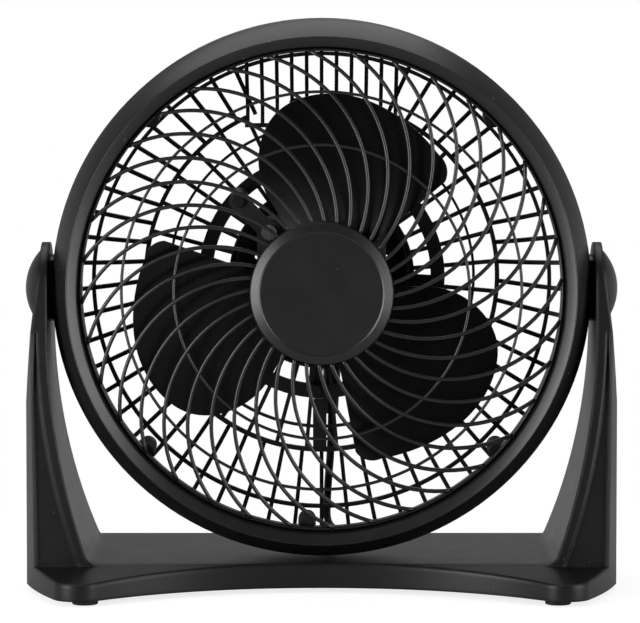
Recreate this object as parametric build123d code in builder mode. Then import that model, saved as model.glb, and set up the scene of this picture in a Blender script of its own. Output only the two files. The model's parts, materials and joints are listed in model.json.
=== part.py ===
"""Table-top air circulator fan: a round fan head between the two legs of a U-shaped stand.

Millimetres, +Z up, front towards -Y, origin on the table in the middle of the stand.
The head is drawn in its own planes. FACE looks along the fan's axis: x to the right,
y up, and its normal, the depth, points forward out of the grille. SECTION holds the
fan's axis: x is the radius and y is the depth. Depth 0 is the pivot axis.
"""
from build123d import *
from math import acos, asin, cos, degrees, pi, radians, sin, sqrt, tan
import os

os.makedirs("parts", exist_ok=True)

# --- Overall -------------------------------------------------------------------------
pivot_height = 140.8
pivot_y = -11.0
head_tilt = 3.6           # nose down, where the head's lower stop holds it
wall = 2.2                # common moulding wall
fit_gap = 0.3             # between pieces that seat loosely or move past each other
running_gap = 0.05        # radial, shafts in bearings and spindles in bushes
screw_gap = 0.2           # radial, screw shank in a clearance hole

# --- Stand ---------------------------------------------------------------------------
stand_half_width = 137.9
stand_depth = 158.0
foot_height = 2.5
base_thickness = 11.4
toe_thickness = 7.6
toe_radius = 12.0
toe_x = 112.8
toe_overshoot = 9.10      # sharp toe beyond the rounded one
scallop_depth = 44.5      # how far the front edge curves in between the toes
rear_corner_radius = 24.0
foot_radius = 5.9
foot_stem_radius = 2.4
foot_stem_length = 3.0
leg_top_radius = 21.4
leg_foot_front = -41.5
leg_foot_rear = 65.0
leg_plate_inner_x = 127.0
leg_plate_thickness = 3.7
panel_recess = 1.6
panel_insets = (6.2, 4.5, 5.3)     # from the stand's widest side, at its bottom, bend and top
hollow_insets = (2.2, 2.2, 3.6)
panel_ridge = 5.0

# --- Pivots --------------------------------------------------------------------------
pivot_cap_radius = 18.5
pivot_cap_height = 7.8
pivot_cap_wall = 1.6
pivot_screw_radius = 4.0
pivot_thread_radius = 2.5
pivot_head_radius = 6.5
pivot_head_height = 3.0
pivot_washer_radius = 8.0
pivot_washer_thickness = 1.2
pivot_boss_radius = 15.7
pivot_boss_gap = 0.3

# --- Shroud and front grille ---------------------------------------------------------
shroud_radius = 125.6
shroud_rear = -13.6
shroud_shoulder = 8.0     # depth where the outer wall starts to round over
crest_radius = 117.9
crest_depth = 24.2
aperture_radius = 112.8
aperture_depth = 14.3
joint_boss_radius = 4.2
joint_boss_circle = 112.9
joint_depth = -8.5        # where the shroud's screw bosses meet the rear grille's lugs
joint_boss_angles = (45, 133, 183.5, 227, 315)   # clockwise from the top
joint_screw_radius = 1.5
grille_rim_width = 1.6
grille_rim_rear = 9.7
grille_hub_radius = 32.5
dome_radius = 700.0       # sphere that the spiral ribs follow
dome_height = 25.6        # depth of that sphere at the fan's axis
rib_count = 36
rib_start = 2.84          # clockwise from the top to the first rib's root
rib_width = 1.9
rib_depth = 3.0
rib_sweep_mid = 19.64      # degrees that a rib has turned at rib_mid_radius
rib_mid_radius = 74.0
rib_sweep_end = 45.93      # degrees that a rib has turned at the rim
grille_ring_radii = (68.4, 92.7)
grille_ring_width = 1.5
cap_radius = 33.2
cap_face_radius = 28.3
cap_depth = 27.4
cap_bevel = 2.2
cap_stem_radius = 5.8

# --- Rear grille ---------------------------------------------------------------------
rear_depth = -48.0        # front side of the flat part of the rear grille
spoke_thickness = 2.6
spoke_width = 1.9
inner_spoke_count = 36
inner_spoke_start = 5.0
outer_spoke_count = 57
rear_rim_inner = 118.0
rear_rim_thickness = 2.6
spigot_length = 4.4
bowl_start = 86.0         # radius where the outer spokes leave the flat part
bowl_end = 119.5          # radius where they meet the rim
bowl_ring_depth = -24.5   # depth that they have reached at the outermost ring
motor_opening_radius = 43.6
window_inner = 44.8
window_outer = 52.8
mount_ring_outer = 59.5
ring_lip = 0.4            # how far the rings round the motor stand proud of the spokes
joint_circle = 55.6       # screws of the motor and of the rear cover
rear_ring_radii = (73.5, 84.9, 108.5)
rear_ring_widths = (1.3, 2.1, 1.8)
rear_ring_fronts = (rear_depth, rear_depth, bowl_ring_depth)
handle_bar_pitch = 7.1
handle_bar_count = 11
handle_bar_width = 1.8
handle_bottom = 73.0
handle_plate_half = 15.5
handle_plate_bottom = 61.0
handle_plate_top = 86.0
guide_x = -0.9
guide_width = 6.6
guide_top = -61.0
guide_bottom = -83.5

# --- Motor ---------------------------------------------------------------------------
stack_size = 61.0
stack_front = -16.0
stack_thickness = 20.0
stator_bore_radius = 15.3
stator_slot_radius = 26.0
pole_width = 10.0
motor_screw_offset = 24.7
motor_screw_radius = 2.0
coil_build = 4.6
rotor_gap = 0.5
shaft_radius = 3.0
shaft_front = 13.0
shaft_rear = -51.0
bracket_thickness = 3.0
bracket_arm_width = 8.6
bearing_radius = 5.5
bearing_length = 8.0
bracket_hub_radius = 9.0
bracket_hub_length = 9.4
mount_pad_radius = 4.0

# --- Impeller ------------------------------------------------------------------------
blade_count = 3
blade_tip_radius = 91.4
blade_thickness = 1.7
blade_lead_angle = 89.5   # clockwise from the top to the first blade's leading edge
impeller_hub_radius = 25.0
impeller_hub_front = 14.6
impeller_hub_rear = -5.6
impeller_collar_radius = 6.5
blade_middle_depth = 6.0
blade_camber = 2.5        # rise of the blade's edges over its middle, 60 mm out to each side
blade_half_chord = 60.0

# --- Rear cover, switch and knob -----------------------------------------------------
cover_radius = 44.4
cover_wall = 2.0
cover_ear_width = 6.4
cover_ear_thickness = 2.6
cover_ear_start = 3.3     # clockwise from the top, then every quarter turn
cover_back = -70.0
cover_back_radius = 43.2
cover_bend = 6.0
vent_count = 28
vent_circle = 27.0
vent_length = 13.0
vent_width = 2.2
knob_radius = 14.0
knob_length = 12.0
knob_base = 4.0           # thickness of its round base
knob_grip_width = 7.0
knob_gap = 0.5
spindle_radius = 3.0
switch_radius = 10.0
switch_length = 12.0
relief_x = 5.0            # strain relief of the cord, in the cover's wall
relief_depth = -57.5

# --- Cord ----------------------------------------------------------------------------
cord_radius = 1.9
relief_length = 24.0
relief_tip_radius = 3.0
relief_root_radius = 4.4
coil_inner = 11.0
coil_outer = 34.5
coil_height = 8.0
coil_centre = (-6.0, 122.0)
tie_half_width = 2.2
tie_thickness = 0.9

# --- Planes of the head --------------------------------------------------------------
tilt = radians(head_tilt)
FACE = Plane(origin=(0, pivot_y, pivot_height), x_dir=(1, 0, 0), z_dir=(0, -cos(tilt), -sin(tilt)))
SECTION = Plane(origin=FACE.origin, x_dir=FACE.x_dir, z_dir=-FACE.y_dir)
SIDE = Plane(origin=FACE.origin, x_dir=FACE.y_dir, z_dir=FACE.x_dir)   # x is up, y is depth
FAN_AXIS = Axis(FACE.origin, FACE.z_dir)
BASE = Plane.XY.offset(foot_height)
BEHIND = Plane.XZ.offset(-stand_depth)                # front views, pulled forwards from here
BESIDE = Plane.YZ.offset(-2 * stand_half_width)       # side views, pulled to the right from here


def clockwise(radius, angle):
    """Point of a FACE sketch at a radius and at degrees clockwise from the top."""
    return (radius * sin(radians(angle)), radius * cos(radians(angle)))


def around_axis(piece, angles):
    """Copies of a solid, turned clockwise about the fan's axis as seen from the front."""
    return [piece.rotate(FAN_AXIS, -angle) for angle in angles]


def even(count, start=0.0):
    return [start + 360.0 * i / count for i in range(count)]


def revolved(points):
    """Ring about the fan's axis from the corners of its section, given as (radius, depth)."""
    with BuildPart() as ring:
        with BuildSketch(SECTION):
            with BuildLine():
                Polyline(*points, close=True)
            make_face()
        revolve(axis=FAN_AXIS)
    return ring.part


def tube(inner, outer, rear, front):
    """Round tube or, with no inner radius, a disc about the fan's axis between two depths."""
    return revolved([(inner, rear), (outer, rear), (outer, front), (inner, front)])


def turned_stud(plane, steps):
    """Stack of discs (radius, length) that starts on the plane and grows along its normal."""
    height = 0.0
    with BuildPart() as stud:
        for radius, length in steps:
            with BuildSketch(plane.offset(height)):
                Circle(radius)
            extrude(amount=length)
            height += length
    return stud.part


def both_sides(piece):
    """The piece and its mirror image on the other side of the middle."""
    return [piece, piece.mirror(Plane.YZ)]


# === Stand ===========================================================================
base_top = foot_height + base_thickness
front_y = -stand_depth / 2
rear_y = stand_depth / 2
side_start_y = -20.0      # where the straight side turns in towards the toe
toe_top = foot_height + toe_thickness
toe_pad_position = (107.2, front_y + toe_radius)
rear_pad_position = (stand_half_width - rear_corner_radius * 0.8, rear_y - rear_corner_radius * 0.8)


def base_plan(inset=0.0):
    """Plan of the base. The legs' outer sides follow it too. inset gives its inside."""
    sharp_toe = (toe_x, front_y - toe_overshoot)
    toe_turn = (toe_x + (stand_half_width - toe_x) * 0.66, (side_start_y + front_y) / 2 - 1.0)
    with BuildSketch(BASE) as plan:
        with BuildLine():
            ThreePointArc((0, front_y + scallop_depth), (65.0, front_y + scallop_depth - 15.0), sharp_toe)
            ThreePointArc(sharp_toe, toe_turn, (stand_half_width, side_start_y))
            Polyline((stand_half_width, side_start_y), (stand_half_width, rear_y), (0, rear_y))
            mirror(about=Plane.YZ)
        make_face()
        fillet(plan.vertices().group_by(Axis.Y)[0], toe_radius)
        fillet(plan.vertices().group_by(Axis.Y)[-1], rear_corner_radius)
        if inset:
            offset(amount=-inset)
    return plan.sketch


def base_block(inset=0.0):
    """Base in its outer form, or its inside when it is inset by the wall."""
    with BuildPart() as block:
        extrude(base_plan(inset), amount=base_thickness - inset)
        with BuildSketch(BESIDE):
            with BuildLine():
                Polyline(
                    (front_y - wall, 0),
                    (front_y - wall, toe_top - inset),
                    (front_y + scallop_depth, base_top - inset),
                    (rear_y + wall, base_top - inset),
                    (rear_y + wall, 0),
                    close=True,
                )
            make_face()
        extrude(amount=4 * stand_half_width, mode=Mode.INTERSECT)
        if not inset:
            fillet(block.faces().sort_by(Axis.Z)[-1].outer_wire().edges(), 1.2)
    return block.part


leg_bend_z = 125.0        # below this height the leg's inner side curves in to the base
leg_outer_z = 88.0        # above this height its outer side leans in to the pivot
plate_outer_x = leg_plate_inner_x + leg_plate_thickness
leg_bend_radius = 326.0


def leg_inner_x(z, inset=0.0):
    """Where the concave inner side of the right leg lies at a height."""
    drop = leg_bend_z - z
    return leg_plate_inner_x + inset - (leg_bend_radius - sqrt(leg_bend_radius**2 - drop**2))


leg_front_top = (pivot_y - leg_top_radius, pivot_height)
leg_rear_top = (pivot_y + leg_top_radius, pivot_height)


def leg_side_view(front_inset=0.0, rear_inset=0.0, top=None):
    """Sketch of the leg seen from the side, as (y, z), on the YZ plane."""
    with BuildSketch(BESIDE) as view:
        with BuildLine():
            ThreePointArc(
                (leg_rear_top[0] - rear_inset, leg_rear_top[1]),
                (leg_rear_top[0] + 14.0 - rear_inset, pivot_height * 0.5),
                (leg_foot_rear - rear_inset, foot_height),
            )
            Polyline(
                (leg_foot_rear - rear_inset, foot_height),
                (leg_foot_front + front_inset, foot_height),
                (leg_front_top[0] + front_inset, leg_front_top[1]),
            )
            if top is None:
                ThreePointArc(
                    leg_front_top,
                    (pivot_y, pivot_height + leg_top_radius),
                    leg_rear_top,
                )
            else:
                Line(
                    (leg_front_top[0] + front_inset, leg_front_top[1]),
                    (leg_rear_top[0] - rear_inset, leg_rear_top[1]),
                )
        make_face()
    return view.sketch


def leg_front_view():
    """Sketch of the right leg seen from the front, as (x, z), on the XZ plane."""
    top = pivot_height + leg_top_radius + 1
    with BuildSketch(BEHIND) as view:
        with BuildLine():
            Polyline(
                (leg_inner_x(foot_height), foot_height),
                (stand_half_width, foot_height),
                (stand_half_width, leg_outer_z),
            )
            ThreePointArc(
                (stand_half_width, leg_outer_z),
                (stand_half_width - 3.1, (leg_outer_z + pivot_height + 10) / 2),
                (plate_outer_x, pivot_height + 10),
            )
            Polyline(
                (plate_outer_x, pivot_height + 10),
                (plate_outer_x, top),
                (leg_plate_inner_x, top),
                (leg_plate_inner_x, leg_bend_z),
            )
            mid_z = (leg_bend_z + foot_height) / 2
            ThreePointArc(
                (leg_plate_inner_x, leg_bend_z),
                (leg_inner_x(mid_z), mid_z),
                (leg_inner_x(foot_height), foot_height),
            )
        make_face()
    return view.sketch


def leg_pocket_view(outer_insets, inner_inset, bottom, top):
    """Front view of a pocket in the leg. The outer insets are at its bottom, bend and top."""
    mid_z = (bottom + top) / 2
    bottom_x, bend_x, top_x = (stand_half_width - inset for inset in outer_insets)
    with BuildSketch(BEHIND) as view:
        with BuildLine():
            Polyline(
                (leg_inner_x(bottom, inner_inset), bottom),
                (bottom_x, bottom),
                (bend_x, leg_outer_z),
                (top_x, top),
                (leg_inner_x(top, inner_inset), top),
            )
            ThreePointArc(
                (leg_inner_x(top, inner_inset), top),
                (leg_inner_x(mid_z, inner_inset), mid_z),
                (leg_inner_x(bottom, inner_inset), bottom),
            )
        make_face()
    return view.sketch


with BuildPart() as leg:
    extrude(leg_front_view(), amount=2 * stand_depth)
    extrude(leg_side_view(), amount=4 * stand_half_width, mode=Mode.INTERSECT)
    extrude(base_plan(), amount=pivot_height + leg_top_radius, mode=Mode.INTERSECT)

with BuildPart() as leg_panel:
    extrude(leg_pocket_view(panel_insets, panel_ridge, base_top - 1.0, 121.0), amount=2 * stand_depth)
    with BuildSketch(BESIDE):
        with BuildLine():
            Polyline(
                (leg_foot_front - 10, foot_height),
                (leg_foot_front + panel_recess, foot_height),
                (leg_front_top[0] + panel_recess, leg_front_top[1]),
                (leg_front_top[0] - 10, leg_front_top[1]),
                close=True,
            )
        make_face()
    extrude(amount=4 * stand_half_width, mode=Mode.INTERSECT)

with BuildPart() as leg_hollow:
    extrude(leg_pocket_view(hollow_insets, wall + 0.4, foot_height - 0.5, 106.0), amount=2 * stand_depth)
    inside = leg_side_view(front_inset=wall + panel_recess, rear_inset=wall + 0.8, top="open")
    extrude(inside, amount=4 * stand_half_width, mode=Mode.INTERSECT)
    extrude(Pos(0, 0, -1) * base_plan(wall), amount=pivot_height, mode=Mode.INTERSECT)

# Stiffening ribs under the base: three across the depth on each half and one along it.
rib_lines_x = (0.0, 34.0, 68.0)
under_rib_half = 0.8
with BuildPart() as under_ribs:
    with BuildSketch(BASE.offset(1.0)):
        for x in rib_lines_x:
            for side in ((1, -1) if x else (1,)):
                with Locations((side * x, 0)):
                    Rectangle(2 * under_rib_half, stand_depth)
        with Locations((0, 18.0)):
            Rectangle(2 * leg_inner_x(base_top) - 8, 2 * under_rib_half)
    extrude(amount=base_thickness)

foot_positions = [
    (side * x, y) for x, y in (toe_pad_position, rear_pad_position) for side in (1, -1)
]
with BuildPart() as foot_bosses:
    with BuildSketch(BASE):
        with Locations(*foot_positions):
            Circle(foot_radius + 0.9)
    extrude(amount=base_thickness)

pivot_line = Plane(origin=(0, pivot_y, pivot_height), x_dir=(0, 1, 0), z_dir=(1, 0, 0))
cap_seat_clearance = 0.2

with BuildPart() as stand:
    add(base_block())
    add(both_sides(leg.part))
    leg_root = [
        edge
        for edge in stand.edges().filter_by_position(Axis.Z, base_top - 0.05, base_top + 0.05)
        if abs(abs(edge.center().X) - leg_inner_x(base_top)) < 1.0
    ]
    fillet(leg_root, 7.0)
    add(both_sides(leg_panel.part), mode=Mode.SUBTRACT)
    under_side = base_block(wall)
    add(under_side - under_ribs.part - foot_bosses.part, mode=Mode.SUBTRACT)
    add(both_sides(leg_hollow.part - foot_bosses.part), mode=Mode.SUBTRACT)
    for side in (1, -1):
        with BuildSketch(pivot_line.offset(side * plate_outer_x)):
            Circle(pivot_cap_radius + cap_seat_clearance)
        extrude(amount=side * 20, mode=Mode.SUBTRACT)
    with BuildSketch(pivot_line.offset(-stand_half_width)):
        Circle(pivot_screw_radius + 0.1)
    extrude(amount=2 * stand_half_width, mode=Mode.SUBTRACT)
    with BuildSketch(BASE):
        with Locations(*foot_positions):
            Circle(foot_stem_radius + 0.1)
    extrude(amount=foot_stem_length + 0.3, mode=Mode.SUBTRACT)
stand.part.label = "stand"
export_step(stand.part, "parts/stand.step")

with BuildPart() as feet:
    with BuildSketch(Plane.XY):
        with Locations(*foot_positions):
            Circle(foot_radius)
    extrude(amount=foot_height)
    fillet(feet.edges().group_by(Axis.Z)[0], 0.6)
    with BuildSketch(BASE):
        with Locations(*foot_positions):
            Circle(foot_stem_radius)
    extrude(amount=foot_stem_length)
feet.part.label = "feet"
export_step(feet.part, "parts/feet.step")

# --- Pivot caps, screws and washers --------------------------------------------------
cap_sphere = (pivot_cap_radius**2 + pivot_cap_height**2) / (2 * pivot_cap_height)
cap_centre_x = plate_outer_x + pivot_cap_height - cap_sphere


def cap_arc(sphere):
    """Arc (radius, x) of a sphere about the cap's centre, from the axis down to the leg."""
    half_angle = acos((plate_outer_x - cap_centre_x) / sphere) / 2
    return [
        (sphere * sin(turn), cap_centre_x + sphere * cos(turn)) for turn in (0, half_angle, 2 * half_angle)
    ]


with BuildPart() as right_pivot_cap:
    with BuildSketch(Plane(origin=(0, pivot_y, pivot_height), x_dir=(0, 1, 0), z_dir=(0, 0, -1))):
        with BuildLine():
            outside = cap_arc(cap_sphere)
            inside = cap_arc(cap_sphere - pivot_cap_wall)
            ThreePointArc(*outside)
            Line(outside[-1], inside[-1])
            ThreePointArc(*reversed(inside))
            Line(inside[0], outside[0])
        make_face()
    revolve(axis=Axis(pivot_line.origin, (1, 0, 0)))
right_pivot_cap.part.label = "right_pivot_cap"
export_step(right_pivot_cap.part, "parts/right_pivot_cap.step")

with BuildPart() as left_pivot_cap:
    add(right_pivot_cap.part.mirror(Plane.YZ))
left_pivot_cap.part.label = "left_pivot_cap"
export_step(left_pivot_cap.part, "parts/left_pivot_cap.step")

with BuildPart() as pivot_washers:
    with BuildSketch(pivot_line.offset(plate_outer_x)):
        Circle(pivot_washer_radius)
        Circle(pivot_screw_radius + 0.1, mode=Mode.SUBTRACT)
    extrude(amount=pivot_washer_thickness)
    mirror(about=Plane.YZ)
pivot_washers.part.label = "pivot_washers"
export_step(pivot_washers.part, "parts/pivot_washers.step")

# The shoulder turns in the stand's hole; the thinner thread sits in the shroud's boss.
boss_face_x = leg_plate_inner_x - pivot_boss_gap
pivot_thread_length = 9.0
head_seat_x = plate_outer_x + pivot_washer_thickness + 0.1
pivot_screw = turned_stud(
    pivot_line.offset(boss_face_x - pivot_thread_length),
    [
        (pivot_thread_radius, pivot_thread_length),
        (pivot_screw_radius, head_seat_x - boss_face_x),
        (pivot_head_radius, pivot_head_height),
    ],
)
with BuildPart() as pivot_screws:
    add(pivot_screw)
    with BuildSketch(pivot_line.offset(head_seat_x + pivot_head_height)):
        Rectangle(7.0, 1.2)
        Rectangle(1.2, 7.0)
    extrude(amount=-1.4, mode=Mode.SUBTRACT)
    mirror(about=Plane.YZ)
pivot_screws.part.label = "pivot_screws"
export_step(pivot_screws.part, "parts/pivot_screws.step")

# === Head: shroud ====================================================================
shroud_inner = shroud_radius - wall
ledge_front = grille_rim_rear - fit_gap
ledge_radius = aperture_radius - grille_rim_width + 0.4
pivot_core_radius = pivot_thread_radius + 3.2
pivot_core_inner_x = shroud_radius - 12.0
joint_points = [clockwise(joint_boss_circle, a) for a in joint_boss_angles]
crest_inside = (crest_radius + 0.7, crest_depth - 1.5 * wall)
pivot_boss_root = crest_radius - 0.4

with BuildPart() as front_shroud:
    with BuildSketch(SECTION):
        with BuildLine():
            Line((shroud_radius, shroud_rear), (shroud_radius, shroud_shoulder))
            TangentArc((shroud_radius, shroud_shoulder), (crest_radius, crest_depth), tangent=(0, 1))
            Polyline(
                (crest_radius, crest_depth),
                (aperture_radius + 0.6, aperture_depth + 0.7),
                (aperture_radius, aperture_depth),
                (aperture_radius, ledge_front),
                (ledge_radius, ledge_front),
                (ledge_radius, ledge_front - 1.5),
                (aperture_radius + 1.6, ledge_front - 1.5),
                (aperture_radius + 1.6, aperture_depth - 1.2),
                crest_inside,
            )
            TangentArc((shroud_inner, shroud_shoulder), crest_inside, tangent=(0, 1))
            Polyline(
                (shroud_inner, shroud_shoulder),
                (shroud_inner, shroud_rear),
                (shroud_radius, shroud_rear),
            )
        make_face()
    revolve(axis=FAN_AXIS)
    for side in (1, -1):
        with BuildSketch(pivot_line.offset(side * pivot_boss_root)):
            Circle(pivot_boss_radius)
        extrude(amount=side * (boss_face_x - pivot_boss_root))
        with BuildSketch(pivot_line.offset(side * pivot_core_inner_x)):
            Circle(pivot_core_radius)
        extrude(amount=side * (shroud_inner - pivot_core_inner_x))
    with BuildSketch(FACE.offset(shroud_rear)):
        Rectangle(3 * shroud_radius, 3 * shroud_radius)
    extrude(amount=-20, mode=Mode.SUBTRACT)
    with BuildSketch(FACE.offset(shroud_rear)):
        Circle(shroud_inner)
    extrude(amount=spigot_length + 0.4, mode=Mode.SUBTRACT)
    with BuildSketch(FACE.offset(joint_depth)):
        with Locations(*joint_points):
            Circle(joint_boss_radius)
    extrude(amount=aperture_depth - joint_depth)
    add(tube(0, aperture_radius, ledge_front, crest_depth), mode=Mode.SUBTRACT)
    with BuildSketch(FACE.offset(joint_depth)):
        with Locations(*joint_points):
            Circle(joint_screw_radius + running_gap)
    extrude(amount=9.0, mode=Mode.SUBTRACT)
    for side in (1, -1):
        with BuildSketch(pivot_line.offset(side * (pivot_core_inner_x + 2.0))):
            Circle(pivot_thread_radius + running_gap)
        extrude(amount=side * 20, mode=Mode.SUBTRACT)
front_shroud.part.label = "front_shroud"
export_step(front_shroud.part, "parts/front_shroud.step")

# === Head: front grille ==============================================================


def dome_depth(radius):
    """Depth of the grille's front surface at a radius."""
    return dome_height - dome_radius + sqrt(dome_radius**2 - radius**2)


rim_outer = aperture_radius - 0.2
rim_inner = aperture_radius - grille_rim_width
rib_root = grille_hub_radius - 1.0
rib_tip = rim_inner + 0.6


def dome_band(inner, outer, thickness, steps=3):
    """Ring that follows the dome between two radii."""
    radii = [inner + (outer - inner) * i / steps for i in range(steps + 1)]
    front = [(r, dome_depth(r)) for r in radii]
    rear = [(r, dome_depth(r) - thickness) for r in reversed(radii)]
    return revolved(front + rear)


# A rib is an arc in front view. Its band is as wide as a rib, and the dome trims its depth.
with BuildPart() as rib:
    with BuildSketch(FACE.offset(aperture_depth - 8)):
        with BuildLine():
            ThreePointArc(
                clockwise(rib_root, 0.0),
                clockwise(rib_mid_radius, -rib_sweep_mid),
                clockwise(rib_tip, -rib_sweep_end),
            )
        trace(line_width=rib_width)
    extrude(amount=dome_height)
    add(dome_band(rib_root - 2, rib_tip + 0.4, rib_depth), mode=Mode.INTERSECT)

hub_front = dome_depth(grille_hub_radius) + 0.1
rim_front = dome_depth(rim_inner) - 0.4
half_ring = grille_ring_width / 2
with BuildPart() as front_grille:
    add([
        tube(rim_inner, rim_outer, grille_rim_rear, rim_front),
        tube(cap_stem_radius + running_gap, grille_hub_radius, hub_front - 2.0, hub_front),
        *around_axis(rib.part, even(rib_count, rib_start)),
        *[dome_band(r - half_ring, r + half_ring, rib_depth - 0.8, steps=1) for r in grille_ring_radii],
    ])
front_grille.part.label = "front_grille"
export_step(front_grille.part, "parts/front_grille.step")

# --- Centre cap: a bevelled disc on the grille's hub ---------------------------------
with BuildPart() as centre_cap:
    add(
        revolved([
            (0, hub_front),
            (cap_radius, hub_front),
            (cap_radius, cap_depth - cap_bevel),
            (cap_radius - 0.5, cap_depth - cap_bevel + 0.6),
            (cap_face_radius + 0.7, cap_depth),
            (cap_face_radius, cap_depth - 0.4),
            (0, cap_depth - 0.4),
        ])
    )
    add(tube(0, cap_stem_radius, hub_front - 3.5, hub_front + 0.5))
centre_cap.part.label = "centre_cap"
export_step(centre_cap.part, "parts/centre_cap.step")

# === Head: rear grille ===============================================================
rim_rear = shroud_rear - rear_rim_thickness
flat_rear = rear_depth - spoke_thickness
ring_rear = flat_rear - ring_lip


def bowl_spoke(inner, width, shift=0.0):
    """Spoke of one width: flat, then slanting forward to the rim. shift moves its outer part."""
    ring = rear_ring_radii[2] + shift
    start = bowl_start + shift
    end = bowl_end + shift
    meeting = rim_rear + 0.5
    diagonal = spoke_thickness * sqrt(0.5)
    with BuildPart() as spoke:
        with BuildSketch(SIDE):
            with BuildLine():
                Line((inner, rear_depth), (start, rear_depth))
                ThreePointArc((start, rear_depth), (ring, bowl_ring_depth), (end, meeting))
                Line((end, meeting), (end + 4.0, meeting))
                ThreePointArc(
                    (end + 4.0, meeting),
                    (ring + diagonal, bowl_ring_depth - diagonal),
                    (start + diagonal / 2, flat_rear),
                )
                Polyline((start + diagonal / 2, flat_rear), (inner, flat_rear), (inner, rear_depth))
            make_face()
        extrude(amount=width / 2, both=True)
    return spoke.part


def flat_spoke(inner, outer, width):
    """Straight radial bar of the rear grille's flat part, at the top."""
    with BuildPart() as bar:
        with BuildSketch(FACE.offset(flat_rear)):
            with Locations((0, (inner + outer) / 2)):
                Rectangle(width, outer - inner)
        extrude(amount=spoke_thickness)
    return bar.part


handle_half = handle_bar_pitch * (handle_bar_count - 1) / 2
handle_frame_half = handle_half + handle_bar_width / 2
handle_angle = degrees(asin((handle_frame_half + 2.0) / bowl_end))
outer_spoke_angles = [
    a for a in even(outer_spoke_count, 180.0 / outer_spoke_count)
    if min(a, 360 - a) > handle_angle
]
inner_ring = rear_ring_radii[1]


def handle_bar(x):
    """Upright bar of the handle window. It bends forward to the round rim like a spoke."""
    shift = sqrt(bowl_end**2 - x**2) - bowl_end
    bar = bowl_spoke(handle_bottom, handle_bar_width, shift)
    return Pos(x, 0, 0) * bar


def inner_spokes():
    """Bars between the motor ring and the middle ring. Some end at the handle window."""
    bars = []
    for angle in even(inner_spoke_count, inner_spoke_start):
        side = sin(radians(angle)) * inner_ring
        up = cos(radians(angle))
        outer = inner_ring
        if up > 0 and abs(side) < handle_frame_half and up * inner_ring > handle_bottom:
            outer = handle_bottom / up
        window = flat_spoke(window_inner - 0.5, window_outer + 0.5, spoke_width)
        long_bar = flat_spoke(mount_ring_outer - 0.5, outer, spoke_width)
        bars += around_axis(window, [angle]) + around_axis(long_bar, [angle])
    return bars


cover_screw_points = [clockwise(joint_circle, a) for a in even(4, cover_ear_start)]
mount_points = [clockwise(joint_circle, a) for a in even(4, 45.0)]
window_top = rear_ring_radii[2] - 1.0
lug_outer = rear_rim_inner + 1.0
with BuildPart() as rear_frame:
    add(
        revolved([
            (rear_rim_inner, rim_rear),
            (shroud_radius - 1.4, rim_rear),
            (shroud_radius, rim_rear + 1.8),
            (shroud_radius, shroud_rear),
            (rear_rim_inner, shroud_rear),
        ])
    )
    spigot_outer = shroud_inner - fit_gap
    add(tube(spigot_outer - 1.6, spigot_outer, shroud_rear - 1, shroud_rear + spigot_length))
    for radius, width, front in zip(rear_ring_radii, rear_ring_widths, rear_ring_fronts):
        add(tube(radius - width / 2, radius + width / 2, front - spoke_thickness, front))
    add(tube(window_outer, mount_ring_outer, ring_rear, rear_depth + ring_lip))
    add(tube(motor_opening_radius, window_inner, ring_rear, rear_depth + ring_lip))
    # handle window: the rings give way to upright bars in a frame
    with BuildSketch(FACE.offset(flat_rear - 1)):
        with Locations((0, (handle_bottom + window_top) / 2)):
            Rectangle(2 * handle_frame_half, window_top - handle_bottom)
    extrude(amount=spoke_thickness + 2, mode=Mode.SUBTRACT)
    with BuildSketch(FACE.offset(flat_rear)):
        with Locations((0, handle_bottom)):
            Rectangle(2 * handle_frame_half + 1.0, 2.0)
    extrude(amount=spoke_thickness)
    # bare plate below the handle
    with BuildSketch(FACE.offset(ring_rear)):
        with Locations((0, (handle_plate_top + handle_plate_bottom) / 2)):
            RectangleRounded(2 * handle_plate_half, handle_plate_top - handle_plate_bottom, 2.0)
    extrude(amount=1.6)
    # cord guide at the bottom, in line with the spoke that runs on to the rim
    with BuildSketch(FACE.offset(flat_rear - 1.5)):
        with Locations((guide_x, (guide_top + guide_bottom) / 2)):
            RectangleRounded(guide_width, guide_top - guide_bottom + 2.0, 1.5)
    extrude(amount=spoke_thickness + 2.5)
    # lugs for the screws into the shroud
    with BuildSketch(FACE.offset(rim_rear)):
        with Locations(*joint_points):
            Circle(joint_boss_radius)
        for angle in joint_boss_angles:
            with Locations(Location((0, 0, 0), (0, 0, -angle))):
                with Locations((0, (joint_boss_circle + lug_outer) / 2)):
                    Rectangle(2 * joint_boss_radius, lug_outer - joint_boss_circle)
    extrude(amount=joint_depth - rim_rear)
    with BuildSketch(FACE.offset(rim_rear - 1)):
        with Locations(*joint_points):
            Circle(joint_screw_radius + screw_gap)
    extrude(amount=joint_depth - rim_rear + 2, mode=Mode.SUBTRACT)
    # posts that carry the motor's front bracket, and the posts of the rear cover's screws
    with BuildSketch(FACE.offset(rear_depth)):
        with Locations(*mount_points):
            Circle(mount_pad_radius)
    extrude(amount=stack_front - rear_depth)
    with BuildSketch(FACE.offset(stack_front)):
        with Locations(*mount_points):
            Circle(joint_screw_radius + running_gap)
    extrude(amount=-9.0, mode=Mode.SUBTRACT)
    with BuildSketch(FACE.offset(rear_depth)):
        with Locations(*cover_screw_points):
            Circle(cover_ear_width / 2)
    extrude(amount=6.0)
    with BuildSketch(FACE.offset(ring_rear)):
        with Locations(*cover_screw_points):
            Circle(joint_screw_radius + running_gap)
    extrude(amount=8.0, mode=Mode.SUBTRACT)

handle_places = [(i - (handle_bar_count - 1) / 2) * handle_bar_pitch for i in range(handle_bar_count)]
with BuildPart() as rear_grille:
    add([
        rear_frame.part,
        *inner_spokes(),
        *around_axis(bowl_spoke(inner_ring - 0.5, spoke_width), outer_spoke_angles),
        *[handle_bar(x) for x in handle_places],
    ])
rear_grille.part.label = "rear_grille"
export_step(rear_grille.part, "parts/rear_grille.step")

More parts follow.
